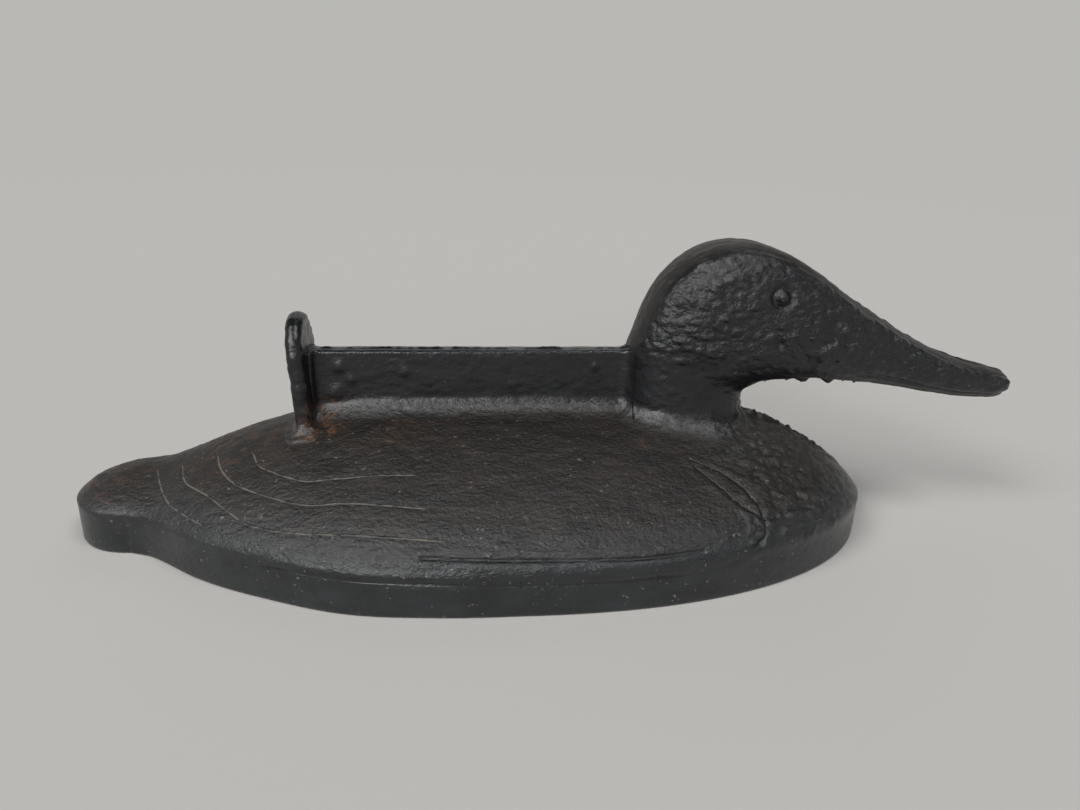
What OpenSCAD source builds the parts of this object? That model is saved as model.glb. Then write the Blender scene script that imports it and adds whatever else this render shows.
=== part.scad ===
// Duck-shaped boot scraper in black cast iron.
// A hollow decoy body stands on its base rim. An upright scraper blade runs along the middle of
// its back, between a round-topped end post and the back of the duck's neck.
// X runs from the tail to the bill, Y across, Z up. The origin is under the middle of the
// whole length, on the plane that the base rim stands on.

/* [Overall] */
// Length from the end of the tail to the tip of the bill
overall_length = 368; // [345:1:442]
// Height from the base rim to the crown of the head
overall_height = 115; // [95:1:138]

/* [Body] */
// Length of the body at its base, from the tail to the breast
body_length = 308; // [256:1:330]
// Width of the body at its widest
body_width = 138; // [114:1:166]
// Height of the flat of the back, where the blade stands
roof_height = 48.5; // [40.4:0.1:58.2]
// Height of the upright side wall, below the crown of the back
wall_height = 16; // [13:0.5:19.5]
// Width of the tail
tail_width = 45; // [37:0.5:54]
// Height of the tail's back
tail_height = 27; // [23:0.5:32]
// Thickness of the hollow body's wall
shell_wall = 7; // [5.8:0.1:8.4]

/* [Head and neck] */
// Distance from the middle of the whole length to the back of the neck
neck_back = 24; // [19:0.5:30]
// Depth of the neck, from its back to the throat
neck_depth = 47; // [39:0.5:52]
// Width of the neck across the body
neck_width = 30; // [25:0.5:36]
// Width of the head across the cheeks
head_width = 34; // [28:0.5:41]
// Width of the bill
bill_width = 23; // [19:0.5:28]
// Height of the underside of the bill at its root
chin_height = 62; // [59:0.5:70]

/* [Blade and post] */
// Height of the blade's top edge
blade_top = 73; // [61:0.5:87]
// Thickness of the blade
blade_thick = 7; // [5.5:0.5:8.5]
// Distance from the middle of the whole length to the post's front face
post_front = 94; // [78:1:113]
// Thickness of the post
post_thick = 6; // [5:0.5:7.5]
// Width of the post
post_width = 28; // [23:0.5:34]
// Height of the top of the post
post_top = 86; // [74:0.5:103]

/* [Seats] */
// Depth that the blade and the post are let into the back
seat_depth = 4; // [3:0.1:4.8]
// Depth that the blade's end is let into the post
post_groove = 1.5; // [1:0.1:2]
// Depth that the blade's end is let into the neck
neck_groove = 5; // [4:0.5:6]
// Clearance at each side of a seat
seat_gap = 0.1; // [0:0.05:0.2]
// Thickness of the pad under the neck's socket
pad_thick = 7; // [5:0.5:9]
// How far the pad reaches out round the socket
pad_margin = 4; // [3:0.5:5]
// How much deeper than the blade the neck is let in
neck_sink = 3.5; // [2.5:0.5:4]
// Height of the straight stretch at the neck's foot, above the back
neck_collar = 3.5; // [3:0.5:5]

/* [Hidden] */

iron = [0.11, 0.10, 0.10];
blue_iron = [0.13, 0.14, 0.16];
eps = 0.01;

tail_end = -overall_length / 2;
bill_tip = overall_length / 2;
neck_middle = neck_back + neck_depth / 2;
neck_seat = roof_height - seat_depth - neck_sink;
blade_foot = roof_height - seat_depth;

// ---- curves ----
function mix(a, b, t) = a + (b - a) * t;

// A smooth curve through the rows [place, value, value...] of a table
function span_of(rows, x, i = 0) =
    i >= len(rows) - 2 || x < rows[i + 1][0] ? i : span_of(rows, x, i + 1);
function slope_at(rows, i) =
    let (a = max(i - 1, 0), b = min(i + 1, len(rows) - 1))
    (rows[b] - rows[a]) / (rows[b][0] - rows[a][0]);
function along(rows, x) =
    let (
        i = span_of(rows, x),
        h = rows[i + 1][0] - rows[i][0],
        t = (x - rows[i][0]) / h
    )
    (1 + 2 * t) * (1 - t) ^ 2 * rows[i] + t * (1 - t) ^ 2 * h * slope_at(rows, i)
    + t ^ 2 * (3 - 2 * t) * rows[i + 1] + t ^ 2 * (t - 1) * h * slope_at(rows, i + 1);

// ---- body ----
// Half width of the base outline: rows of [share of the body's length, half width]
tail_corner = 0.075;
widest = 0.55;
oval_power = 2.2;
flank = [
    [tail_corner, tail_width / 2],
    [0.105, mix(tail_width, body_width, 0.08) / 2],
    [0.17, mix(tail_width, body_width, 0.40) / 2],
    [0.235, mix(tail_width, body_width, 0.63) / 2],
    [0.34, mix(tail_width, body_width, 0.90) / 2],
    [0.45, mix(tail_width, body_width, 0.99) / 2],
    [widest, body_width / 2]
];
function oval(t) = sqrt(max(0, 1 - max(t, 0) ^ oval_power));
function half_width(s) =
    s < tail_corner ? tail_width / 2 * oval(1 - s / tail_corner)
    : s < widest ? along(flank, s)[1]
    : body_width / 2 * oval((s - widest) / (1 - widest));

// Height of the back along its middle: rows of [share of the body's length, height]
ridge = [
    [0, wall_height],
    [0.02, mix(wall_height, tail_height, 0.55)],
    [0.06, mix(wall_height, tail_height, 0.92)],
    [0.10, tail_height],
    [0.15, mix(tail_height, roof_height, 0.28)],
    [0.20, mix(tail_height, roof_height, 0.55)],
    [0.27, mix(tail_height, roof_height, 0.82)],
    [0.35, mix(tail_height, roof_height, 0.98)],
    [0.45, roof_height],
    [0.62, roof_height],
    [0.80, mix(wall_height, roof_height, 0.92)],
    [0.87, mix(wall_height, roof_height, 0.85)],
    [0.92, mix(wall_height, roof_height, 0.65)],
    [0.97, mix(wall_height, roof_height, 0.33)],
    [1, wall_height]
];
// Across the back: 1 at the middle and 0 at the edge, steep at the edge like a loaf
crown_fullness = 1.6;
crown_shoulder = 0.7;
function crown(t) = (1 - min(abs(t), 1) ^ crown_fullness) ^ crown_shoulder;
function back_height(x, y) =
    let (s = min(max((x - tail_end) / body_length, 0), 1))
    mix(wall_height, along(ridge, s)[1], crown(y / max(half_width(s), eps)));

// The skin is a stack of rings that shrink from the rim onto a keel along the middle
around = 80;
crown_rings = 9;
keel_ends = [0.08, 0.92];
function share_at(j) = (1 + cos(360 * j / around)) / 2;
function rim(j) =
    let (s = share_at(j))
    [tail_end + s * body_length, (sin(360 * j / around) < 0 ? -1 : 1) * half_width(s)];
function rim_inside(j) =
    let (d = rim((j + 1) % around) - rim((j + around - 1) % around))
    rim(j) + shell_wall * [-d[1], d[0]] / norm(d);
function keel(j) = [tail_end + mix(keel_ends[0], keel_ends[1], share_at(j)) * body_length, 0];
function inward(edge, j, k) = mix(keel(j), edge, cos(90 * k / crown_rings));

outer_skin = [
    for (j = [0 : around - 1]) [rim(j)[0], rim(j)[1], 0],
    for (k = [0 : crown_rings - 1], j = [0 : around - 1])
        let (p = inward(rim(j), j, k))
        [p[0], p[1], k == 0 ? wall_height : back_height(p[0], p[1])],
    for (j = [0 : around / 2]) [keel(j)[0], 0, back_height(keel(j)[0], 0)]
];
inner_skin = [
    for (j = [0 : around - 1]) [rim_inside(j)[0], rim_inside(j)[1], 0],
    for (k = [0 : crown_rings - 1], j = [0 : around - 1])
        let (p = inward(rim_inside(j), j, k))
        [p[0], p[1], back_height(p[0], p[1]) - shell_wall],
    for (j = [0 : around / 2]) [keel(j)[0], 0, back_height(keel(j)[0], 0) - shell_wall]
];
function keel_index(j) = (crown_rings + 1) * around + min(j, around - j);
function skin_index(k, j) =
    k <= crown_rings ? k * around + j % around : keel_index(j % around);
skin_faces = [
    for (k = [0 : crown_rings], j = [0 : around - 1])
        let (a = skin_index(k, j), b = skin_index(k, j + 1))
        let (c = skin_index(k + 1, j + 1), d = skin_index(k + 1, j))
        each [[a, c, b], if (c != d) [a, d, c]]
];

module hollow_body() {
    first_inner = len(outer_skin);
    polyhedron(
        points = concat(outer_skin, inner_skin),
        faces = concat(
            skin_faces,
            [for (f = skin_faces) [f[2], f[1], f[0]] + first_inner * [1, 1, 1]],
            [
                for (j = [0 : around - 1])
                    let (a = j, b = (j + 1) % around)
                    each [
                        [a, b, b + first_inner],
                        [a, b + first_inner, a + first_inner]
                    ]
            ]
        ),
        convexity = 6
    );
}

// Footprint of the neck, a straight-sided oval, grown by the margin
module neck_footprint(margin) {
    r = neck_width / 2 + margin;
    straight = neck_depth - neck_width;
    translate([neck_middle, 0]) {
        square([straight, 2 * r], center = true);
        for (side = [-1, 1]) translate([side * straight / 2, 0]) circle(r, $fn = 64);
    }
}

module blade_block(side, foot, head) {
    back = -post_front - post_groove;
    front = neck_back + neck_groove;
    translate([back, -blade_thick / 2 - side, foot])
        cube([front - back, blade_thick + 2 * side, head - foot]);
}

module post_block(margin, foot, head) {
    translate([-post_front - post_thick - margin, -post_width / 2 - margin, foot])
        cube([post_thick + 2 * margin, post_width + 2 * margin, head - foot]);
}

post_foot = back_height(-post_front - post_thick, 0) - seat_depth;

module body_shell() {
    color(iron) difference() {
        union() {
            hollow_body();
            translate([0, 0, neck_seat - pad_thick])
                linear_extrude(pad_thick) neck_footprint(pad_margin);
        }
        translate([0, 0, neck_seat]) linear_extrude(roof_height) neck_footprint(seat_gap);
        blade_block(seat_gap, blade_foot, blade_top);
        post_block(seat_gap, post_foot, post_top);
    }
}

// ---- head and neck ----
// Rows of [place, back x, back z, front x, front z, half width], from the neck to the bill's tip
function reach(u) = mix(neck_back, bill_tip, u);
function rise(v) = mix(roof_height, overall_height, v);
function chin(v) = mix(roof_height, chin_height, v);
neck_front = neck_back + neck_depth;
function throat(u) = mix(neck_front, bill_tip, u);
head_rungs = [
    [0, reach(0), rise(0.02), throat(0), chin(0.10), neck_width / 2],
    [1, reach(0), rise(0.20), throat(0), chin(0.45), neck_width / 2],
    [2, reach(0.005), rise(0.38), throat(0.01), chin(0.75), mix(neck_width, head_width, 0.2) / 2],
    [3, reach(0.028), rise(0.60), throat(0.03), chin(0.90), mix(neck_width, head_width, 0.7) / 2],
    [4, reach(0.075), rise(0.80), throat(0.065), chin(0.97), head_width / 2],
    [5, reach(0.155), rise(0.95), throat(0.11), chin(1), head_width / 2],
    [6, reach(0.245), rise(1), throat(0.17), chin(1), head_width / 2],
    [7, reach(0.37), rise(0.91), throat(0.24), chin(1), mix(bill_width, head_width, 0.9) / 2],
    [8, reach(0.50), rise(0.72), throat(0.33), chin(0.97), mix(bill_width, head_width, 0.6) / 2],
    [9, reach(0.61), rise(0.56), throat(0.45), chin(0.85), mix(bill_width, head_width, 0.25) / 2],
    [10, reach(0.74), rise(0.39), throat(0.61), chin(0.63), bill_width / 2],
    [11, reach(0.87), rise(0.285), throat(0.79), chin(0.45), bill_width / 2 * 0.95],
    [12, reach(0.96), rise(0.25), throat(0.92), chin(0.36), bill_width / 2 * 0.82],
    [13, reach(1), rise(0.21), throat(0.985), chin(0.42), bill_width / 2 * 0.5]
];
steps_per_rung = 4;
round_steps = 32;
bulge = 0.82;
function signed_power(v, e) = (v < 0 ? -1 : 1) * abs(v) ^ e;

function head_ring(t) =
    let (r = along(head_rungs, t))
    let (back = [r[1], 0, r[2]], front = [r[3], 0, r[4]])
    [
        for (i = [0 : round_steps - 1])
            let (a = 360 * i / round_steps)
            (back + front) / 2 + (front - back) / 2 * signed_power(cos(a), bulge)
            + [0, r[5] * signed_power(sin(a), bulge), 0]
    ];

module head_loft() {
    last = (len(head_rungs) - 1) * steps_per_rung;
    rings = [for (i = [0 : last]) head_ring(i / steps_per_rung)];
    polyhedron(
        points = [for (ring = rings) each ring],
        faces = concat(
            [[for (i = [0 : round_steps - 1]) i]],
            [[for (i = [round_steps - 1 : -1 : 0]) last * round_steps + i]],
            [
                for (k = [0 : last - 1], i = [0 : round_steps - 1])
                    let (a = k * round_steps + i, b = k * round_steps + (i + 1) % round_steps)
                    each [
                        [a, b + round_steps, b],
                        [a, a + round_steps, b + round_steps]
                    ]
            ]
        ),
        convexity = 6
    );
}

module head_and_neck() {
    color(blue_iron) difference() {
        union() {
            head_loft();
            translate([0, 0, neck_seat])
                linear_extrude(roof_height + neck_collar - neck_seat) neck_footprint(0);
        }
        blade_block(seat_gap, blade_foot, blade_top + seat_gap);
    }
}

// ---- blade and post ----
module scraper_blade() {
    color(blue_iron) blade_block(0, blade_foot, blade_top);
}

module end_post() {
    arch = post_width / 2;
    color(blue_iron) difference() {
        union() {
            post_block(0, post_foot, post_top - arch);
            translate([-post_front, 0, post_top - arch])
                rotate([0, -90, 0]) cylinder(h = post_thick, r = arch, $fn = 64);
        }
        blade_block(seat_gap, blade_foot - eps, blade_top + seat_gap);
    }
}

body_shell();
head_and_neck();
scraper_blade();
end_post();
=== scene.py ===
"""Duck-shaped boot scraper: one black iron casting, made here in the four parts of its frame."""

import math

import bpy
import numpy as np
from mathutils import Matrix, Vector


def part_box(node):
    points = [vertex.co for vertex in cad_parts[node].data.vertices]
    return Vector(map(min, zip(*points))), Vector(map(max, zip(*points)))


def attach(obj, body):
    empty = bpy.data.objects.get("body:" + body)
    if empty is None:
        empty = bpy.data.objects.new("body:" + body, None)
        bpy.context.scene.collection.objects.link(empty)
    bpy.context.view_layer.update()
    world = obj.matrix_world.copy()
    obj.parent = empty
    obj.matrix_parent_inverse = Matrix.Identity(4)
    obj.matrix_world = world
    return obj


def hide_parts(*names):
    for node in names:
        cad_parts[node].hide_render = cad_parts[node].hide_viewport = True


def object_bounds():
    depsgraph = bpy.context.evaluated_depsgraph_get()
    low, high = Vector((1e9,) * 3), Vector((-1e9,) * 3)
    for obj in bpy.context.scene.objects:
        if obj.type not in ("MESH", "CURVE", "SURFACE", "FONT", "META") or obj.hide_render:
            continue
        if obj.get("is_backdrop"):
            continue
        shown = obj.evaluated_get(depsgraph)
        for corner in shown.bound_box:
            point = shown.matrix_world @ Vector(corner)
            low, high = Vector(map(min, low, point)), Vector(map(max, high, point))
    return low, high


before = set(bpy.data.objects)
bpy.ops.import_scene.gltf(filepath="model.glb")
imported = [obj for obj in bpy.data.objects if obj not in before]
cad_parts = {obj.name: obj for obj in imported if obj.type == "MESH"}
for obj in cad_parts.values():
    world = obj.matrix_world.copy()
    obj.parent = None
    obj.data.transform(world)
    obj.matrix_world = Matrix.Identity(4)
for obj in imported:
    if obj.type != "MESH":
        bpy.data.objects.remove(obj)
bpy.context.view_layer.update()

# ---- Body casting ----
# The duck's body is a hollow shell of grey iron, cast in green sand and open underneath. Its back
# is a long loaf over a low upright wall. The pattern had feather lines scribed into its back.
MM = 0.001
body_low, body_high = [np.array(corner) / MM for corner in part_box("body_shell")]
BODY_LENGTH, BODY_WIDTH = body_high[0] - body_low[0], body_high[1] - body_low[1]
ROOF_HEIGHT, WALL_HEIGHT, SHELL_WALL = body_high[2], 16.0, 7.0
TAIL_WIDTH, TAIL_HEIGHT, TAIL_CORNER, WIDEST = 45.0, 27.0, 0.075, 0.55
COLUMNS, ROOF_ROWS, WALL_ROWS, INNER_ROWS = 760, 92, 12, 8


def mix(a, b, t):
    """The value a share t of the way from a to b."""
    return a + (b - a) * t


def ease(low, high, value):
    """0 below low, 1 above high, and 3t^2 - 2t^3 between them."""
    t = np.clip((value - low) / (high - low), 0, 1)
    return t * t * (3 - 2 * t)


def bump(distance, width):
    """A bell curve: 1 at no distance, and a third at the width."""
    return np.exp(-((distance / width) ** 2))


def along(rows, place):
    """A smooth curve through the rows (place, value, value...): cubic pieces, whose slope at a row
    is that of the line through its two neighbours."""
    rows = np.array(rows, float)
    last = len(rows) - 1
    before = np.maximum(np.arange(last + 1) - 1, 0)
    after = np.minimum(np.arange(last + 1) + 1, last)
    slope = (rows[after] - rows[before]) / (rows[after, :1] - rows[before, :1])
    place = np.asarray(place, float)
    i = np.clip(np.searchsorted(rows[:, 0], place, side="right") - 1, 0, last - 1)
    step = (rows[i + 1, 0] - rows[i, 0])[..., None]
    t = (place - rows[i, 0])[..., None] / step
    start = (1 + 2 * t) * (1 - t) ** 2 * rows[i] + t * (1 - t) ** 2 * step * slope[i]
    end = t**2 * (3 - 2 * t) * rows[i + 1] + t**2 * (t - 1) * step * slope[i + 1]
    return (start + end)[..., 1:]


def lattice_noise(points, size, seed=0):
    """Smooth noise from -1 to 1: a fixed random value at each corner of a lattice of that size,
    blended between the corners."""
    cell = points / np.asarray(size, float) + 512.0
    corner = np.floor(cell).astype(np.int64)
    t = cell - corner
    t = t * t * (3 - 2 * t)
    total = np.zeros(points.shape[:-1])
    for step in np.ndindex(2, 2, 2):
        c = corner + np.array(step)
        key = (c[..., 0] * 73856093) ^ (c[..., 1] * 19349663) ^ (c[..., 2] * 83492791) ^ (seed * 7919)
        key = ((key ^ (key >> 13)) * 1274126177) & 0x7FFFFFFF
        value = ((key ^ (key >> 15)) & 0xFFFF) / 32767.5 - 1
        total += value * np.prod(np.where(step, t, 1 - t), axis=-1)
    return total


def outward(points):
    """Outward unit normals of a grid that is closed along its rows: the cross product of the step
    to the next column and the step to the next row."""
    across = np.roll(points, -1, 1) - np.roll(points, 1, 1)
    normal = np.cross(across, np.gradient(points, axis=0))
    return normal / np.maximum(np.linalg.norm(normal, axis=-1, keepdims=True), 1e-9)


def curve_distance(points, places, pieces=36):
    """Distance from every point to a smooth curve through the places, taken as short straight
    pieces, with a minus sign where the point lies to the right of the curve in plan."""
    rows = [[i, *place] for i, place in enumerate(places)]
    corners = along(rows, np.linspace(0, len(places) - 1, pieces + 1))
    near = np.full(points.shape[:-1], 1e9)
    for start, step in zip(corners[:-1], np.diff(corners, axis=0)):
        away = points - start
        share = np.clip(away @ step / (step @ step), 0, 1)
        gap = np.linalg.norm(away - share[..., None] * step, axis=-1)
        left = step[0] * away[..., 1] - step[1] * away[..., 0] > 0
        near = np.where(gap < np.abs(near), np.where(left, gap, -gap), near)
    return near


def oval(t):
    """Half width of a blunt oval end, a share t of the way to its tip: sqrt(1 - t^2.2)."""
    return np.sqrt(np.maximum(0, 1 - np.maximum(t, 0) ** 2.2))


def half_width(share):
    """Half width of the base outline, at a share of the body's length from the tail."""
    flank = [(TAIL_CORNER, TAIL_WIDTH / 2)] + [
        (place, mix(TAIL_WIDTH, BODY_WIDTH, part) / 2)
        for place, part in [
            (0.105, 0.08),
            (0.17, 0.40),
            (0.235, 0.63),
            (0.34, 0.90),
            (0.45, 0.99),
            (WIDEST, 1.0),
        ]
    ]
    tail = TAIL_WIDTH / 2 * oval(1 - share / TAIL_CORNER)
    side = along(flank, np.clip(share, TAIL_CORNER, WIDEST))[..., 0]
    breast = BODY_WIDTH / 2 * oval((share - WIDEST) / (1 - WIDEST))
    return np.where(share < TAIL_CORNER, tail, np.where(share < WIDEST, side, breast))


def back_height(x, y):
    """Height of the back: a ridge line along the middle that falls to the wall at the outline as
    (1 - t^1.6)^0.7, where t is the share of the half width."""
    ridge = [
        (0, WALL_HEIGHT),
        (0.02, mix(WALL_HEIGHT, TAIL_HEIGHT, 0.42)),
        (0.06, mix(WALL_HEIGHT, TAIL_HEIGHT, 0.78)),
        (0.10, mix(WALL_HEIGHT, TAIL_HEIGHT, 0.92)),
        (0.15, mix(TAIL_HEIGHT, ROOF_HEIGHT, 0.22)),
        (0.20, mix(TAIL_HEIGHT, ROOF_HEIGHT, 0.49)),
        (0.27, mix(TAIL_HEIGHT, ROOF_HEIGHT, 0.78)),
        (0.35, mix(TAIL_HEIGHT, ROOF_HEIGHT, 0.98)),
        (0.45, ROOF_HEIGHT),
        (0.62, ROOF_HEIGHT),
        (0.80, mix(WALL_HEIGHT, ROOF_HEIGHT, 0.92)),
        (0.87, mix(WALL_HEIGHT, ROOF_HEIGHT, 0.81)),
        (0.92, mix(WALL_HEIGHT, ROOF_HEIGHT, 0.57)),
        (0.97, mix(WALL_HEIGHT, ROOF_HEIGHT, 0.28)),
        (1, WALL_HEIGHT),
    ]
    share = np.clip((x - body_low[0]) / BODY_LENGTH, 0, 1)
    t = np.minimum(np.abs(y) / np.maximum(half_width(share), 0.01), 1)
    return mix(WALL_HEIGHT, along(ridge, share)[..., 0], (1 - t**1.6) ** 0.7)


def body_rings():
    """Rings of points from the keel inside the hollow, down the inner wall, under the rim, up the
    outer wall and over the back to the keel line. A ring on the back is the outline drawn towards
    the keel line, at the height of the back."""
    angle = np.arange(COLUMNS) * 2 * np.pi / COLUMNS
    share = (1 + np.cos(angle)) / 2
    side = np.where(np.sin(angle) < 0, -1, 1)
    rim = np.stack([body_low[0] + share * BODY_LENGTH, side * half_width(share)], -1)
    step = np.roll(rim, -1, 0) - np.roll(rim, 1, 0)
    inward = np.stack([-step[:, 1], step[:, 0]], -1) / np.linalg.norm(step, axis=1, keepdims=True)
    keel = np.stack([body_low[0] + mix(0.08, 0.92, share) * BODY_LENGTH, 0 * share], -1)
    inner_rim = rim + SHELL_WALL * inward

    def ring(plan, height):
        return np.column_stack([plan, np.broadcast_to(height, len(plan))])

    def back_ring(edge, t, drop=0.0):
        plan = mix(edge, keel, t)
        return ring(plan, back_height(plan[:, 0], plan[:, 1]) - drop)

    inner = [back_ring(inner_rim, 1 - t, SHELL_WALL) for t in np.linspace(0, 1, INNER_ROWS)]
    foot = [
        ring(inner_rim, 1.0),
        ring(inner_rim - 0.8 * inward, 0.0),
        ring(rim + 1.0 * inward, 0.0),
        ring(rim + 0.3 * inward, 0.3),
    ]
    wall = [ring(rim, z) for z in np.linspace(1.2, WALL_HEIGHT, WALL_ROWS)]
    steps = np.linspace(0, 1, ROOF_ROWS + 1)[1:]
    back = [back_ring(rim, mix(1 - math.cos(t * math.pi / 2), t, 0.45)) for t in steps]
    return np.array(inner + foot + wall + back), len(inner + foot)


FEATHER_LINES = [
    [(-153, 6), (-148, 18), (-143, 26), (-135, 34), (-128, 39.5)],
    [(-143, 8), (-139, 19), (-129, 29), (-119, 39), (-110, 46), (-93, 53), (-70, 58), (-46, 61)],
    [(-130, 8), (-125, 21), (-115, 32), (-94, 44), (-79, 47), (-64, 49.5), (-52, 51)],
    [(-115, 16), (-110, 25), (-95, 35), (-81, 37.5), (-68, 38), (-56, 38.5)],
]
WING_OUTLINES = [
    [(-112, 51.4, 12), (-93, 60, 14), (-73, 65.5, 14), (-40, 68.5, 13), (6, 68.8, 12), (30, 66, 12),
     (44, 63, 13), (56, 60, 15), (66, 55.5, 20), (66.5, 49, 26), (62, 42, 32), (54, 36, 36),
     (44, 31.5, 39)],
    [(-53, 64.5, 21), (-30, 66, 20.5), (0, 66.5, 20), (22, 65.5, 19.5), (42, 62, 19.5)],
    [(45, 35, 38), (57, 46, 30), (66, 51, 25)],
]


def sand_skin(points):
    """How far the sand-cast skin stands out, in mm: noise of three sizes, drawn out along the body
    and lower on the wall, with coarse knobs over the breast."""
    x, y, z = np.moveaxis(points, -1, 0)
    on_back = ease(WALL_HEIGHT - 3, WALL_HEIGHT + 5, z)
    skin = 0.17 * lattice_noise(points, (2.8, 1.7, 1.7), 1) + 0.17 * lattice_noise(points, (7, 3, 3), 2)
    skin += 0.16 * lattice_noise(points, 12.0, 3)
    breast = ease(56, 82, x + 0.25 * np.abs(y)) * (1 - 0.85 * ease(98, 117, x)) * on_back
    breast *= 1 - ease(50, 57, z)
    knobs = 1.25 * np.abs(lattice_noise(points, 3.4, 4)) + 0.7 * lattice_noise(points, 1.9, 5)
    seam = bump(y, 1.4) * (0.5 + 1.2 * np.maximum(0, lattice_noise(points, 2.4, 6)))
    return skin * mix(0.3, 1.0, on_back) + (knobs + seam) * breast


body_points, first_outer = body_rings()
outer = body_points[first_outer:]
mirrored = outer * (1, 0, 1) + np.abs(outer) * (0, 1, 0)
scribed = np.full(outer.shape[:-1], 1e9)
for line in FEATHER_LINES:
    x, y = np.array(line, float).T
    gap = curve_distance(mirrored, np.stack([x, y, back_height(x, y)], -1))
    scribed = np.where(np.abs(gap) < np.abs(scribed), gap, scribed)
outlined = np.full(outer.shape[:-1], 1e9)
for line in WING_OUTLINES:
    gap = curve_distance(mirrored, line)
    outlined = np.where(np.abs(gap) < np.abs(outlined), gap, outlined)
worn = 0.35 + 0.65 * ease(-0.7, 0.0, lattice_noise(outer, 9.0, 7))
on_back = ease(WALL_HEIGHT - 3, WALL_HEIGHT + 5, outer[..., 2])
brown_top = np.maximum(ease(18, 31, outer[..., 2]), on_back * ease(-140, -158, outer[..., 0]))
lift = sand_skin(outer) - 0.25 * bump(scribed, 0.8) * worn - 0.45 * bump(outlined, 0.9) * worn
lift += 0.30 * bump(np.abs(outlined) - 2.2, 1.2) * worn
body_points[first_outer:] = outer + outward(outer) * lift[..., None]
body_points = np.clip(body_points, body_low, (*body_high[:2], ROOF_HEIGHT + 1))


def closed_faces(index):
    """Four-sided faces between neighbouring rows of a table of point numbers, closed round each row."""
    after = np.roll(index, -1, axis=1)
    return np.stack([index[:-1], after[:-1], after[1:], index[1:]], -1).reshape(-1, 4).tolist()


def iron_piece(name, points, faces, marks, node):
    """A smooth-shaded piece at the origin, with each mark kept as one value per point. It rides on
    the one body and stands for the node of its name."""
    mesh = bpy.data.meshes.new(name)
    mesh.from_pydata((points * MM).tolist(), [], faces)
    mesh.polygons.foreach_set("use_smooth", [True] * len(mesh.polygons))
    for mark, values in marks.items():
        mesh.attributes.new(mark, "FLOAT", "POINT").data.foreach_set("value", values)
    piece = bpy.data.objects.new(name, mesh)
    bpy.context.collection.objects.link(piece)
    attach(piece, "root")
    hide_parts(node)
    return piece


rows = len(body_points)
index = np.arange(rows * COLUMNS).reshape(rows, COLUMNS)
fold = np.minimum(np.arange(COLUMNS), (COLUMNS - np.arange(COLUMNS)) % COLUMNS)
index[0] = index[0][fold]
index[-1] = index[-1][fold]
inner_marks = np.zeros(first_outer * COLUMNS)
rust_spots = [((-88, -12, 45), 6.0, 0.75), ((-172, 0, 22), 14.0, 0.60), ((-125, 0, 38), 26.0, 0.40)]
rust_spots += [((6, -28, 46), 2.5, 0.5), ((28, -24, 45), 3.0, 0.55), ((-60, -15, 48), 12.0, 0.35)]
rust = np.zeros(outer.shape[:-1])
for place, size, strength in rust_spots:
    rust = np.maximum(rust, strength * bump(np.linalg.norm(outer - place, axis=-1), size))
rust *= ease(-0.4, 0.5, lattice_noise(outer, (3.4, 2.0, 2.0), 8))
shoulder = bump(outer[..., 2] - 20, 7) * ease(-140, -90, outer[..., 0])
# A painted highlight: pale grey round the front of the neck's foot, where the fillet catches the light.
painted_collar_highlight = bump(np.linalg.norm(mirrored - (62, 20, 42), axis=-1), 13)
body_marks = {
    "scribe_side": np.append(inner_marks + 9, np.clip(scribed, -9, 9).ravel()),
    "scribe_near": np.append(inner_marks + 9, np.minimum(np.abs(scribed) + 1 - worn, 9).ravel()),
    "outline_side": np.append(inner_marks + 9, np.clip(outlined, -9, 9).ravel()),
    "outline_near": np.append(inner_marks + 9, np.minimum(np.abs(outlined) + 1 - worn, 9).ravel()),
    "rust": np.append(inner_marks, rust.ravel()),
    "back": np.append(inner_marks, on_back.ravel()),
    "top": np.append(inner_marks, brown_top.ravel()),
    "painted_collar_highlight": np.append(inner_marks, painted_collar_highlight.ravel()),
    "shoulder": np.append(inner_marks, shoulder.ravel()),
}
body = iron_piece(
    "body_casting", body_points.reshape(-1, 3), closed_faces(index), body_marks, "body_shell"
)


def linear(colour):
    """An sRGB hex colour as linear red, green, blue and an alpha of 1."""
    parts = [int(colour[i : i + 2], 16) / 255 for i in (1, 3, 5)]
    return (*[c / 12.92 if c <= 0.04045 else ((c + 0.055) / 1.055) ** 2.4 for c in parts], 1.0)


def add(tree, kind, settings=(), links=()):
    """Adds a node, sets its properties or its inputs, and links outputs to its inputs. An input
    goes by its name or its number."""
    node = tree.nodes.new(kind)
    for key, value in dict(settings).items():
        if isinstance(key, str) and hasattr(node, key):
            setattr(node, key, value)
        else:
            node.inputs[key].default_value = value
    for key, source in dict(links).items():
        tree.links.new(source, node.inputs[key])
    return node


def new_material(name, roughness):
    """A material with one Principled shader of that roughness. Returns it, its tree and the shader."""
    material = bpy.data.materials.new(name)
    material.use_nodes = True
    shader = material.node_tree.nodes["Principled BSDF"]
    shader.inputs["Roughness"].default_value = roughness
    return material, material.node_tree, shader
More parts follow.
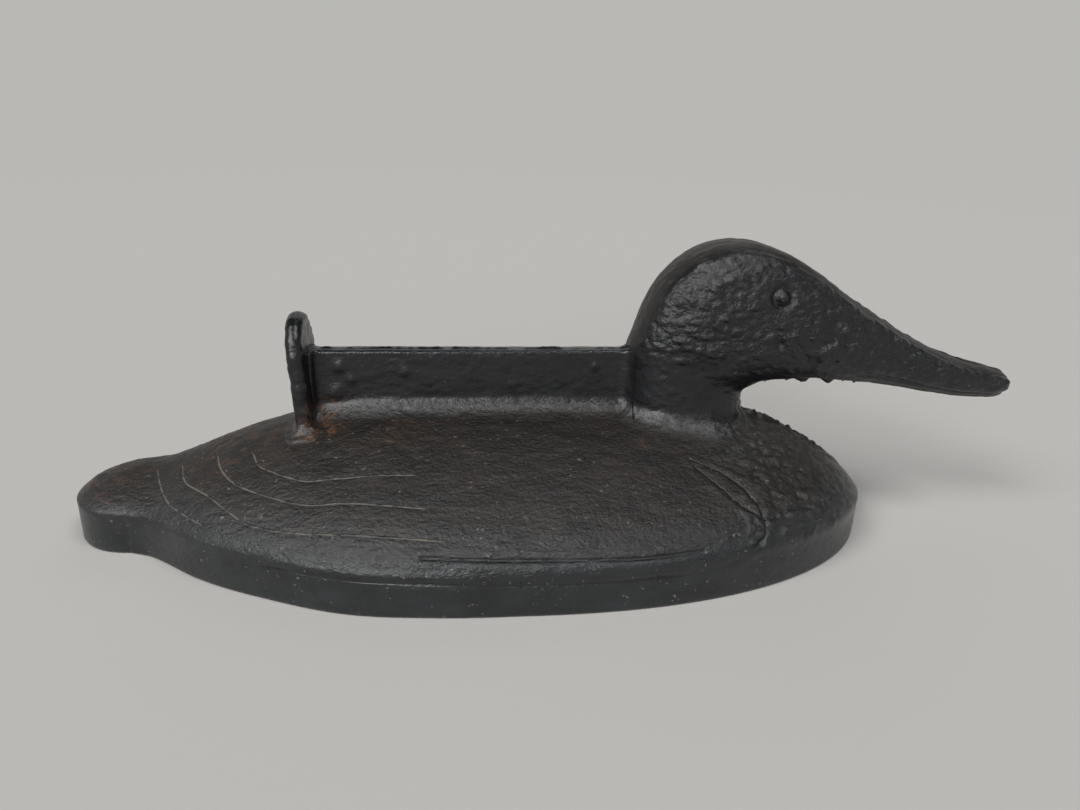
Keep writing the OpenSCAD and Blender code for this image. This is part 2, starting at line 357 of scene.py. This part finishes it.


# Grey cast iron with an old black varnish, rubbed and dusty: brown-black on top, greyer on the
# wall, with a fine sandy skin, pale dust in the scribed lines, darker in the wing grooves, thin
# rust stains, and a painted highlight of pale grey round the front of the neck.
body_finish, tree, shader = new_material("dusty_black_cast_iron", 0.6)
shader.inputs["IOR"].default_value = 1.5
place = add(tree, "ShaderNodeTexCoord").outputs["Object"]
grain = {}
for name, millimetres, detail, stretch in [
    ("mottle", 9.0, 5, (0.6, 1, 1)),
    ("grit", 1.3, 5, (0.75, 1, 1)),
    ("patches", 4.0, 4, (1, 1, 1)),
    ("breaks", 5.0, 4, (1, 1, 1)),
    ("specks", 1.8, 2, (1, 1, 1)),
    ("lumps", 3.2, 3, (0.6, 1, 1)),
]:
    turned = add(tree, "ShaderNodeMapping", {"Scale": stretch}, {"Vector": place}).outputs["Vector"]
    settings = {"Scale": 1 / (millimetres * MM), "Detail": detail, "Roughness": 0.6}
    grain[name] = add(tree, "ShaderNodeTexNoise", settings, {"Vector": turned}).outputs["Fac"]
mark = {}
for name in body_marks:
    mark[name] = add(tree, "ShaderNodeAttribute", {"attribute_name": name}).outputs["Fac"]
for name in ("scribe_side", "outline_side"):
    distance = add(tree, "ShaderNodeMath", {"operation": "ABSOLUTE"}, {0: mark[name]})
    mark[name] = distance.outputs[0]

# A share goes from its low to its high value while its source goes from start to end.
share = {}
for name, source, start, end, low, high in [
    ("mottled", grain["mottle"], 0.35, 0.65, 0, 1),
    ("rusted", grain["grit"], 0.35, 0.70, 0, 1),
    ("patchy", grain["patches"], 0.42, 0.60, 0, 1),
    ("broken", grain["breaks"], 0.38, 0.56, 0.019, 0.65),
    ("painted_sheen_grain", grain["grit"], 0.45, 0.70, 0, 1),
    ("speckled", grain["specks"], 0.67, 0.74, 0, 0.6),
    ("scribed", mark["scribe_side"], 0.1, 0.45, 1, 0),
    ("by_scribe", mark["scribe_near"], 0.9, 1.5, 1, 0),
    ("outlined", mark["outline_side"], 0.2, 0.9, 1, 0),
    ("by_outline", mark["outline_near"], 1.0, 1.6, 1, 0),
    ("gritty", grain["grit"], 0, 1, 0.18, 0.46),
    ("sandy", mark["back"], 0, 1, 0.3, 1),
]:
    settings = {"From Min": start, "From Max": end, "To Min": low, "To Max": high}
    share[name] = add(tree, "ShaderNodeMapRange", settings, {"Value": source}).outputs["Result"]
for name, first, second in [
    ("line", share["scribed"], share["by_scribe"]),
    ("groove", share["outlined"], share["by_outline"]),
    ("stained", mark["rust"], share["patchy"]),
    ("lumpy", grain["lumps"], share["sandy"]),
    ("rough_grit", grain["grit"], share["sandy"]),
]:
    product = add(tree, "ShaderNodeMath", {"operation": "MULTIPLY"}, {0: first, 1: second})
    share[name] = product.outputs[0]
links = {0: share["line"], 1: share["broken"]}
dusted = add(tree, "ShaderNodeMath", {"operation": "MULTIPLY"}, links).outputs[0]
# The wing-outline grooves are coloured near-black: darker in the grooves.
links = {0: share["groove"]}
groove_darkened = add(tree, "ShaderNodeMath", {"operation": "MULTIPLY", 1: 0.7}, links).outputs[0]
links = {0: share["line"], 1: share["groove"]}
edges = add(tree, "ShaderNodeMath", {"operation": "SUBTRACT"}, links).outputs[0]

tint = {}
for name, source, dark, light in [
    ("wall", "mottled", "#17191B", "#222426"),
    ("top", "mottled", "#0D0B0A", "#1E1814"),
    ("rust", "rusted", "#2E2119", "#7A5438"),
    ("painted_sheen", "painted_sheen_grain", "#151514", "#454443"),
]:
    settings = {"data_type": "RGBA", 6: linear(dark), 7: linear(light)}
    tint[name] = add(tree, "ShaderNodeMix", settings, {0: share[source]}).outputs[2]
DUST, GROOVE_DARK = linear("#77726A"), linear("#0C0B0B")
colour = tint["wall"]
# The pale grey laid over the front of the neck's foot is a painted highlight.
for cover, plain, mottled in [
    (mark["top"], {}, {7: tint["top"]}),
    (share["stained"], {}, {7: tint["rust"]}),
    (dusted, {7: DUST}, {}),
    (mark["painted_collar_highlight"], {}, {7: tint["painted_sheen"]}),
    (groove_darkened, {7: GROOVE_DARK}, {}),
    (share["speckled"], {7: DUST}, {}),
]:
    links = {0: cover, 6: colour, **mottled}
    colour = add(tree, "ShaderNodeMix", {"data_type": "RGBA", **plain}, links).outputs[2]
tree.links.new(colour, shader.inputs["Base Color"])

rough = share["gritty"]
for name, more in [("back", 0.16), ("shoulder", -0.30), ("painted_collar_highlight", -0.18)]:
    settings = {"operation": "MULTIPLY_ADD", 1: more}
    rough = add(tree, "ShaderNodeMath", settings, {0: mark[name], 2: rough}).outputs[0]
tree.links.new(rough, shader.inputs["Roughness"])
under = {}
for height, millimetres, strength in [
    (share["lumpy"], 0.6, 0.6),
    (share["rough_grit"], 0.8, 0.9),
    (edges, 0.3, 0.8),
]:
    settings = {"Distance": millimetres * MM, "Strength": strength}
    skin = add(tree, "ShaderNodeBump", settings, {"Height": height, **under}).outputs["Normal"]
    under = {"Normal": skin}
tree.links.new(skin, shader.inputs["Normal"])
body.data.materials.append(body_finish)

# ---- Scraper blade ----
# An upright rib along the middle of the back, cast with the body. Its foot and ends run into their
# neighbours in round fillets, and a thin ragged flash stands on the parting line along its top.
blade_low, blade_high = [np.array(corner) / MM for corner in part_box("scraper_blade")]
BLADE_HALF = (blade_high[1] - blade_low[1]) / 2
BLADE_TOP = blade_high[2]
FOOT_RADIUS, TOP_RADIUS, END_RADIUS = 6.5, 1.2, 6.0
head_low, head_high = [np.array(corner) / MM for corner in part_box("head_and_neck")]
post_low, post_high = [np.array(corner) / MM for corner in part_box("end_post")]
NECK_BACK = head_low[0]
BLADE_LUMPS = [  # x, z, width and height of each, in mm
    (-86, 56, 3.0, 0.7),
    (-84, 66, 2.4, 0.6),
    (-80, 61, 1.8, 0.5),
    (-60, 64, 1.6, 0.4),
    (-20, 59, 2.2, 0.35),
    (12, 66, 1.8, 0.5),
]


def concave(distance, radius):
    """How far a round fillet stands out from a wall at a distance from the corner: r - sqrt(r^2 -
    (r - d)^2), and nothing past the radius."""
    near = radius - np.clip(distance, 0, radius)
    return radius - np.sqrt(radius**2 - near**2)


def blade_sections(stations):
    """Closed sections across the blade, one for each place along it. From the outer edge of one
    foot the profile climbs a quarter-round fillet, goes straight up, rounds over the top and comes
    down the other side. It starts and ends just below the back."""
    end_swell = concave(stations - post_high[0], 3.0) + concave(NECK_BACK + 3 - stations, END_RADIUS)
    turn = np.linspace(0, np.pi / 2, 14)
    up = np.linspace(0, 1, 28)[1:-1]
    half = (BLADE_HALF + end_swell)[:, None]
    fillet_y = half + FOOT_RADIUS * (1 - np.sin(turn))
    fillet_lift = FOOT_RADIUS * (1 - np.cos(turn))
    fillet_z = back_height(stations[:, None], fillet_y) + fillet_lift
    rise = 0.7 * concave(NECK_BACK + 2.5 - stations, 5.0)[:, None]
    shoulder = BLADE_TOP - 0.9 - TOP_RADIUS + rise
    side_z = mix(fillet_z[:, -1:], shoulder, up)
    side_y = half - 0.25 * up
    round_y = half - 0.25 - TOP_RADIUS * (1 - np.cos(turn))
    round_z = shoulder + TOP_RADIUS * np.sin(turn) + 0 * half
    crest_y = mix(round_y[:, -1:], 0, np.linspace(0, 1, 7)[1:])
    crest_z = round_z[:, -1:] + 0 * crest_y
    skirt_y = fillet_y[:, :1] + 1.5
    skirt_z = back_height(stations[:, None], skirt_y) - 0.6
    y = np.hstack([skirt_y * 0, skirt_y, fillet_y, side_y, round_y, crest_y])
    z = np.hstack([skirt_z * 0 + 38, skirt_z, fillet_z, side_z, round_z, crest_z])
    y = np.hstack([y, -y[:, -2:0:-1]])
    z = np.hstack([z, z[:, -2:0:-1]])
    return np.stack([stations[:, None] + 0 * y, y, z], -1)


stations = np.linspace(post_low[0] + 2, NECK_BACK + 2.4, 220)
blade_points = blade_sections(stations)
above = ease(0.5, 5, blade_points[..., 2] - back_height(blade_points[..., 0], blade_points[..., 1]))
lumps = np.zeros(blade_points.shape[:-1])
for x, z, size, height in BLADE_LUMPS:
    lumps += height * bump(np.hypot(blade_points[..., 0] - x, blade_points[..., 2] - z), size)
lift = sand_skin(blade_points) * mix(1.0, 0.45, above) + lumps * above
blade_points += outward(blade_points) * lift[..., None]
flash = bump(blade_points[..., 1], 1.0) * ease(BLADE_TOP - 2, BLADE_TOP - 1, blade_points[..., 2])
ragged = 0.4 + 0.4 * lattice_noise(blade_points * (1, 0, 0), 4.0, 9)
ragged += 0.25 * lattice_noise(blade_points * (1, 0, 0), 1.6, 10)
blade_points[..., 2] += flash * np.clip(ragged, 0.1, 1.2)


def capped(points, cap_start, cap_end):
    """Points and faces of a grid closed along its rows, with each end closed by a fan to a point."""
    rows, columns = points.shape[:2]
    index = np.arange(rows * columns).reshape(rows, columns)
    first, last = np.full(columns, rows * columns), np.full(columns, rows * columns + 1)
    fans = np.stack([first, np.roll(index[0], -1), index[0]], -1).tolist()
    fans += np.stack([last, index[-1], np.roll(index[-1], -1)], -1).tolist()
    return np.vstack([points.reshape(-1, 3), cap_start, cap_end]), closed_faces(index) + fans


def foot_marks(points):
    """Two marks by the height above the back: ground is 1 on the back and 0 from 2 mm above it, and
    foot is 1 over the fillet and 0 from 6 mm."""
    height = points[:, 2] - back_height(points[:, 0], points[:, 1])
    return {"ground": 1 - ease(0.3, 2.2, height), "foot": 1 - ease(1.0, 6.0, height)}


blade_points, blade_faces = capped(
    blade_points, (stations[0], 0, 60), (stations[-1], 0, 60)
)
blade_marks = foot_marks(blade_points)
blade_marks["rim"] = np.zeros(len(blade_points))
blade_marks["leather"] = blade_marks["foot"]
blade_marks["stain"] = bump(np.linalg.norm(blade_points - (-89, -9, 49), axis=1), 6.0)
blade = iron_piece(
    "scraper_rib", blade_points, blade_faces, blade_marks, "scraper_blade"
)

# The same iron where boots and hands have kept the varnish: blue-black and satin, with dust
# specks, a painted highlight of pale grey over the fillets, and browner along the head's rounded rim.
upper_finish, tree, shader = new_material("oil_blackened_cast_iron", 0.35)
shader.inputs["IOR"].default_value = 1.5
place = add(tree, "ShaderNodeTexCoord").outputs["Object"]
grain = {}
for name, millimetres, detail, stretch in [
    ("mottle", 7.0, 5, (1, 1, 1)),
    ("grit", 1.5, 5, (0.6, 1, 1)),
    ("body_mottle", 9.0, 5, (0.6, 1, 1)),
    ("patches", 4.0, 4, (1, 1, 1)),
    ("specks", 2.0, 2, (1, 1, 1)),
    ("lumps", 2.6, 3, (1, 1, 1)),
]:
    turned = add(tree, "ShaderNodeMapping", {"Scale": stretch}, {"Vector": place}).outputs["Vector"]
    settings = {"Scale": 1 / (millimetres * MM), "Detail": detail, "Roughness": 0.6}
    grain[name] = add(tree, "ShaderNodeTexNoise", settings, {"Vector": turned}).outputs["Fac"]
mark = {}
for name in blade_marks:
    mark[name] = add(tree, "ShaderNodeAttribute", {"attribute_name": name}).outputs["Fac"]

share = {}
for name, source, start, end, low, high in [
    ("mottled", grain["mottle"], 0.35, 0.65, 0, 1),
    ("body_mottled", grain["body_mottle"], 0.35, 0.65, 0, 1),
    ("painted_sheen_grain", grain["grit"], 0.40, 0.70, 0, 1),
    ("rusted", grain["grit"], 0.35, 0.70, 0, 1),
    ("patchy", grain["patches"], 0.42, 0.60, 0, 1),
    ("speckled", grain["specks"], 0.73, 0.78, 0, 0.5),
    ("gritty", grain["grit"], 0, 1, 0.18, 0.40),
    ("leathery", mark["leather"], 0, 1, 0.3, 1),
]:
    settings = {"From Min": start, "From Max": end, "To Min": low, "To Max": high}
    share[name] = add(tree, "ShaderNodeMapRange", settings, {"Value": source}).outputs["Result"]
for name, first, second in [
    ("stained", mark["stain"], share["patchy"]),
    ("lumpy", grain["lumps"], share["leathery"]),
    ("rough_grit", grain["grit"], share["leathery"]),
]:
    product = add(tree, "ShaderNodeMath", {"operation": "MULTIPLY"}, {0: first, 1: second})
    share[name] = product.outputs[0]

tint = {}
for name, source, dark, light in [
    ("varnish", "mottled", "#08090B", "#101216"),
    ("rim", "mottled", "#151311", "#1F1C19"),
    ("painted_sheen", "painted_sheen_grain", "#131313", "#454443"),
    ("ground", "body_mottled", "#0D0B0A", "#1E1814"),
    ("rust", "rusted", "#2E2119", "#7A5438"),
]:
    settings = {"data_type": "RGBA", 6: linear(dark), 7: linear(light)}
    tint[name] = add(tree, "ShaderNodeMix", settings, {0: share[source]}).outputs[2]
# The foot mark lays a painted highlight of pale grey over the fillets of the blade, post and neck.
colour = tint["varnish"]
for cover, plain, mottled in [
    (mark["rim"], {}, {7: tint["rim"]}),
    (mark["foot"], {}, {7: tint["painted_sheen"]}),
    (mark["ground"], {}, {7: tint["ground"]}),
    (share["stained"], {}, {7: tint["rust"]}),
    (share["speckled"], {7: linear("#6E7072")}, {}),
]:
    links = {0: cover, 6: colour, **mottled}
    colour = add(tree, "ShaderNodeMix", {"data_type": "RGBA", **plain}, links).outputs[2]
tree.links.new(colour, shader.inputs["Base Color"])

rough = share["gritty"]
for name, more in [("rim", 0.18), ("ground", 0.20)]:
    settings = {"operation": "MULTIPLY_ADD", 1: more}
    rough = add(tree, "ShaderNodeMath", settings, {0: mark[name], 2: rough}).outputs[0]
tree.links.new(rough, shader.inputs["Roughness"])
under = {}
for height, millimetres, strength in [(share["lumpy"], 0.8, 0.7), (share["rough_grit"], 0.8, 0.8)]:
    settings = {"Distance": millimetres * MM, "Strength": strength}
    skin = add(tree, "ShaderNodeBump", settings, {"Height": height, **under}).outputs["Normal"]
    under = {"Normal": skin}
tree.links.new(skin, shader.inputs["Normal"])
blade.data.materials.append(upper_finish)

# ---- End post ----
# A round-topped plate across the rear end of the blade, which stops the boot. It was cast upright
# on the back with the blade, and its foot spreads into the back all round.
POST_HALF_THICK = (post_high[0] - post_low[0]) / 2
POST_MIDDLE = (post_high[0] + post_low[0]) / 2
POST_HALF_WIDTH = (post_high[1] - post_low[1]) / 2
POST_TOP = post_high[2]


def post_rings():
    """Level rings up the post. A ring is the plate's section, rounded at its edges by a quarter
    circle of the distance to the outline. The outline is straight up to the springing and a half
    circle above, and the foot spreads by a fillet."""
    spring = POST_TOP - 0.4 - POST_HALF_WIDTH
    base = 38.0
    straight = mix(base, spring, np.linspace(0, 1, 56))
    arch = np.linspace(0, np.pi / 2, 46)[1:-1]
    level = np.append(straight, spring + POST_HALF_WIDTH * np.sin(arch))[:, None]
    half = np.append(straight * 0 + 1, np.cos(arch))[:, None] * POST_HALF_WIDTH
    angle = np.linspace(0, 2 * np.pi, 120, endpoint=False)
    y = half * np.sin(angle)
    edge = np.where(
        level < spring, half - np.abs(y), POST_HALF_WIDTH - np.hypot(y, level - spring)
    )
    rounding = np.sqrt(1 - (1 - np.clip(edge / 2.2, 0, 1)) ** 2)
    x = np.sign(np.cos(angle)) * POST_HALF_THICK * rounding
    ground = back_height(POST_MIDDLE + x, y)
    spread = concave(np.maximum(level - ground, 0), 4.5)
    direction = np.stack([np.cos(angle), np.sin(angle)], -1)
    plan = np.stack([x + np.sign(x) * spread * np.abs(direction[..., 0]) ** 0.3,
                     y + np.sign(y) * spread * np.abs(direction[..., 1]) ** 3], -1)
    lean = -1.8 * ease(ROOF_HEIGHT, POST_TOP, level)
    return np.stack([POST_MIDDLE + lean + plan[..., 0], plan[..., 1], level + 0 * y], -1)


post_points = post_rings()
post_points += outward(post_points) * sand_skin(post_points)[..., None]
post_points, post_faces = capped(
    post_points, (POST_MIDDLE, 0, 38), (POST_MIDDLE, 0, POST_TOP - 0.4)
)
post_points = np.clip(post_points, (post_low[0] - 6, -40, 30), (post_high[0] + 8, 40, POST_TOP))
post_marks = foot_marks(post_points)
post_marks["rim"] = np.zeros(len(post_points))
post_marks["leather"] = post_marks["foot"]
post_marks["stain"] = bump(np.linalg.norm(post_points - (-92, -12, 46), axis=1), 7.0)
post = iron_piece("end_plate", post_points, post_faces, post_marks, "end_post")
post.data.materials.append(upper_finish)

# ---- Head and neck ----
# A solid duck's head on a short thick neck, with a long flat bill. The cheeks are flattish and
# leathery from the sand, framed by a smooth rounded rim, with a bead for each eye. Ragged flash
# is left on the parting line over the head and under the bill.
HEAD_COLUMNS, NECK_ROWS, HEAD_ROWS, FILLET_ROWS = 264, 10, 300, 10
HEAD_TOP, BILL_TIP = head_high[2], head_high[0]
RUNGS = [
    (0, 24.4, 60, 70.8, 54.0, 15.0, 2.3),
    (1, 24.6, 73, 71.4, 56.8, 15.2, 2.4),
    (2, 27.0, 81, 74.0, 58.6, 15.8, 2.5),
    (3, 30.4, 90.5, 77.5, 60.2, 16.4, 2.7),
    (4, 35.6, 99.8, 81.0, 61.0, 16.9, 2.9),
    (5, 43.2, 107.4, 85.0, 61.4, 17.0, 3.0),
    (6, 51.6, 112.2, 89.0, 61.6, 17.0, 3.0),
    (7, 61.0, 114.3, 93.0, 61.8, 17.0, 3.0),
    (8, 72.0, 113.2, 98.0, 61.8, 16.8, 3.0),
    (9, 84.0, 109.0, 103.0, 61.6, 16.4, 3.0),
    (10, 97.0, 101.8, 109.0, 61.2, 15.6, 3.0),
    (11, 109.0, 93.8, 115.0, 60.6, 14.6, 2.9),
    (12, 121.0, 87.0, 123.0, 59.6, 13.2, 2.8),
    (13, 134.0, 79.2, 134.5, 58.0, 12.0, 2.8),
    (14, 149.0, 72.2, 148.5, 55.8, 11.6, 2.8),
    (15, 163.0, 67.4, 161.0, 54.2, 11.0, 2.7),
    (16, 174.0, 64.8, 172.0, 53.4, 9.6, 2.5),
    (17, 180.6, 62.6, 179.4, 53.8, 7.2, 2.3),
    (18, 183.4, 59.6, 182.8, 56.0, 3.6, 2.1),
]


def head_rings():
    """Sections of the neck, head and bill. A rung runs from the back or top of the neck, head or
    bill to its front or underside. Round each rung goes a blunt oval, whose radius at an angle a
    is (|cos a|^n + |sin a|^n)^(-1/n), with n from the rung. Below the first rung the neck runs
    straight down, and spreads into the back by a fillet that is wider at the front corners."""
    angle = np.linspace(0, 2 * np.pi, HEAD_COLUMNS, endpoint=False)
    cos, sin = -np.cos(angle), -np.sin(angle)
    t = np.linspace(0, RUNGS[-1][0], HEAD_ROWS)
    back_x, back_z, front_x, front_z, half, power = along(RUNGS, t).T[..., None]
    radius = (np.abs(cos) ** power + np.abs(sin) ** power) ** (-1 / power)
    share = (1 + radius * cos) / 2
    head = np.stack([mix(back_x, front_x, share), half * radius * sin, mix(back_z, front_z, share)], -1)

    first = head[0]
    plan_step = np.roll(first[:, :2], -1, 0) - np.roll(first[:, :2], 1, 0)
    out = np.stack([plan_step[:, 1], -plan_step[:, 0]], -1)
    out /= np.linalg.norm(out, axis=1, keepdims=True)
    forward = np.clip(cos, -1, 1)
    size = 6.5 + 6.5 * bump(forward - 0.60, 0.45) - 2.5 * ease(0.70, 1.0, forward)
    size = np.minimum(size, first[:, 2] - back_height(first[:, 0], first[:, 1]) - 0.6)
    turn = np.linspace(0, np.pi / 2, FILLET_ROWS)[:, None]
    plan = first[:, :2] + out * (size * (1 - np.sin(turn)))[..., None]
    level = back_height(plan[..., 0], plan[..., 1]) + size * (1 - np.cos(turn))
    fillet = np.dstack([plan, level])
    skirt = np.column_stack([first[:, :2] + out * (size + 2.0)[:, None], first[:, 2] * 0])
    skirt[:, 2] = back_height(skirt[:, 0], skirt[:, 1]) - 0.8
    up = np.linspace(0, 1, NECK_ROWS)[1:-1, None, None]
    neck = mix(fillet[-1], first, up)
    return np.concatenate([skirt[None], fillet, neck, head]), angle


head_points, angle = head_rings()
normal = outward(head_points)
x, y, z = np.moveaxis(head_points, -1, 0)
lifted = ease(2.0, 8.0, z - back_height(x, y))
rung_share = np.clip((1 - np.cos(angle)) / 2, 0, 1)[None]
face = ease(0.45, 0.75, np.abs(normal[..., 1])) * ease(66, 78, z + 0.12 * (x - 60))
face *= 1 - 0.85 * ease(0.72, 0.84, rung_share)
wrinkle = 0.60 * np.abs(lattice_noise(head_points, (4.4, 3, 2.4), 11))
wrinkle += 0.32 * lattice_noise(head_points, (2.2, 1.7, 1.4), 12)
wrinkle += 0.50 * lattice_noise(head_points, (10, 8, 5), 13)
lift = 0.8 * sand_skin(head_points) + wrinkle * face

CHEEK_LUMPS = [  # x, z, width and height of each, in mm; the first is a pit
    (78, 78, 2.0, -0.7),
    (104, 84, 2.6, 0.8),
    (101, 79, 2.0, 0.7),
    (92, 82, 2.4, 0.6),
    (96, 74, 2.6, 0.5),
    (110, 77, 2.2, 0.6),
]
EYE_PLACE, EYE_RADIUS, SOCKET_RADIUS = (77.0, 96.5), 2.3, 3.6
from_eye = np.hypot(x - EYE_PLACE[0], z - EYE_PLACE[1])
bead = np.sqrt(np.maximum(0, 1 - (from_eye / EYE_RADIUS) ** 2))
lift = mix(lift, 0, bump(from_eye, 7.0)) + 1.4 * bead - 0.9 * bump(from_eye - SOCKET_RADIUS, 1.1)
for lump_x, lump_z, size, height in CHEEK_LUMPS:
    lift += height * bump(np.hypot(x - lump_x, z - lump_z), size) * (np.abs(y) > 5)

on_bill = ease(95, 120, x)
lift -= 0.80 * on_bill * bump(rung_share - 0.80, 0.035) * (np.abs(y) > 4)
lift += 0.60 * ease(72, 90, x) * bump(rung_share - 0.91, 0.02) * (np.abs(y) > 4)

back_side = rung_share < 0.5
flash_top = back_side * bump(y, 0.8) * ease(80, 125, x)
flash_top *= 0.5 + 0.5 * lattice_noise(head_points * (1, 0, 0), 2.6, 14)
flash_low = ~back_side * bump(y, 0.9) * ease(72.5, 76, x) * (1 - 0.75 * ease(112, 128, x))
teeth = 2.5 + 1.8 * lattice_noise(head_points * (1, 0, 0), 4.0, 15)
teeth += 1.6 * np.maximum(0, lattice_noise(head_points * (1, 0, 0), 1.7, 16))
head_points += normal * mix(sand_skin(head_points), lift, lifted)[..., None]
head_points[..., 2] += 0.7 * flash_top - flash_low * teeth
head_points = np.clip(head_points, (-60, -40, 20), (BILL_TIP, 40, HEAD_TOP))

rim_band = 1 - ease(0.35, 0.62, np.abs(normal[..., 1]))
head_points, head_faces = capped(head_points, (47, 0, 36), (BILL_TIP - 0.6, 0, 58.4))
head_marks = foot_marks(head_points)
head_marks["rim"] = np.append(rim_band.ravel(), [0, 0])
head_marks["stain"] = np.zeros(len(head_points))
head_marks["leather"] = np.maximum(np.append(face.ravel(), [0, 0]), head_marks["foot"])
head = iron_piece("duck_head", head_points, head_faces, head_marks, "head_and_neck")
head.data.materials.append(upper_finish)

# ---- Floor, light and camera ----
# The scraper stands on a plain grey sheet in a pale room. Soft light comes from two windows, from
# the ceiling and, weakly, from behind, so the sheet is evenly lit on every side.


def soft_sun(name, place, spread, strength):
    """Even light from the direction of a place, as from a wide window. The spread is in degrees."""
    sun = bpy.data.lights.new(name, "SUN")
    sun.energy, sun.angle = strength, math.radians(spread)
    obj = bpy.data.objects.new(name, sun)
    bpy.context.collection.objects.link(obj)
    obj.location = place
    obj.rotation_euler = (-Vector(place)).to_track_quat("-Z", "Y").to_euler()


PALE_ROOM, DIM_CEILING = "#B9B8B5", "#202122"
FLOOR_SPAN = 9.0
corners = [(-FLOOR_SPAN, -FLOOR_SPAN, 0), (FLOOR_SPAN, -FLOOR_SPAN, 0)]
corners += [(FLOOR_SPAN, FLOOR_SPAN, 0), (-FLOOR_SPAN, FLOOR_SPAN, 0)]
floor_mesh = bpy.data.meshes.new("floor")
floor_mesh.from_pydata(corners, [], [(0, 1, 2, 3)])
floor = bpy.data.objects.new("floor", floor_mesh)
bpy.context.collection.objects.link(floor)
floor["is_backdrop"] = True


def seen_directly(tree):
    """1 for rays from the camera, from gloss and through glass, and 0 for the light itself."""
    path = add(tree, "ShaderNodeLightPath")
    seen = path.outputs["Is Camera Ray"]
    for ray in ("Is Glossy Ray", "Is Transmission Ray"):
        either = {0: seen, 1: path.outputs[ray]}
        seen = add(tree, "ShaderNodeMath", {"operation": "MAXIMUM"}, either).outputs[0]
    return seen


# A matt grey sheet. Far from the casting it shows the room's own pale colour, so it has no edge.
sheet, tree, shader = new_material("matt_grey_sheet", 0.9)
shader.inputs["Base Color"].default_value = linear("#B3B1AE")
place = add(tree, "ShaderNodeTexCoord")
away = add(tree, "ShaderNodeVectorMath", {"operation": "LENGTH"}, {0: place.outputs["Object"]})
far = add(
    tree,
    "ShaderNodeMapRange",
    {"From Min": 0.5, "From Max": 2.0, "interpolation_type": "SMOOTHSTEP"},
    {"Value": away.outputs["Value"]},
).outputs["Result"]
glow = add(tree, "ShaderNodeEmission", {"Color": linear(PALE_ROOM)})
links = {0: far, 1: seen_directly(tree)}
far_seen = add(tree, "ShaderNodeMath", {"operation": "MULTIPLY"}, links).outputs[0]
links = {0: far_seen, 1: shader.outputs[0], 2: glow.outputs[0]}
faded = add(tree, "ShaderNodeMixShader", {}, links)
tree.links.new(faded.outputs[0], tree.nodes["Material Output"].inputs["Surface"])
floor.data.materials.append(sheet)

soft_sun("left_window", (-0.62, -0.40, 0.72), 30, 1.8)
soft_sun("front_window", (-0.34, -0.88, 0.42), 34, 1.9)
soft_sun("ceiling", (0.34, -0.30, 0.92), 24, 1.0)
soft_sun("rear_window", (0.10, 0.90, 0.80), 50, 0.3)

# The room's walls are pale and its ceiling is dim, for what the eye and the gloss can see of them.
world = bpy.data.worlds.new("room")
world.use_nodes = True
bpy.context.scene.world = world
tree = world.node_tree
room_light = tree.nodes["Background"]
room_light.inputs["Color"].default_value = linear("#C4C6C8")
room_light.inputs["Strength"].default_value = 0.16
towards = add(tree, "ShaderNodeTexCoord")
split = add(tree, "ShaderNodeSeparateXYZ", links={"Vector": towards.outputs["Generated"]})
settings = {"From Min": 0.28, "From Max": 0.55}
higher = add(tree, "ShaderNodeMapRange", settings, {"Value": split.outputs["Z"]})
settings = {"data_type": "RGBA", 6: linear(PALE_ROOM), 7: linear(DIM_CEILING)}
room_colour = add(tree, "ShaderNodeMix", settings, {0: higher.outputs["Result"]}).outputs[2]
room_seen = add(tree, "ShaderNodeBackground", {"Strength": 1.0}, {"Color": room_colour})
links = {0: seen_directly(tree), 1: room_light.outputs[0], 2: room_seen.outputs[0]}
mixed = add(tree, "ShaderNodeMixShader", {}, links)
tree.links.new(mixed.outputs[0], tree.nodes["World Output"].inputs["Surface"])

YAW, PITCH, ROLL = [math.radians(a) for a in (6.62, 21.57, 2.06)]
camera_data = bpy.data.cameras.new("camera")
camera_data.sensor_width, camera_data.lens = 36.0, 27.03
camera_data.clip_start = 0.01
camera = bpy.data.objects.new("camera", camera_data)
bpy.context.collection.objects.link(camera)
camera.location = (-0.0425, -0.2934, 0.1656)
right = np.array([math.cos(YAW), -math.sin(YAW), 0])
ahead = np.array([math.sin(YAW) * math.cos(PITCH), math.cos(YAW) * math.cos(PITCH), -math.sin(PITCH)])
upward = np.cross(right, ahead)
side = math.cos(ROLL) * right + math.sin(ROLL) * upward
crown = -math.sin(ROLL) * right + math.cos(ROLL) * upward
turned = np.stack([side, crown, -ahead], axis=1)
camera.rotation_euler = Matrix(turned.tolist()).to_euler()
bpy.context.scene.camera = camera
bpy.context.scene.view_settings.view_transform = "Standard"

low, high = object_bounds()
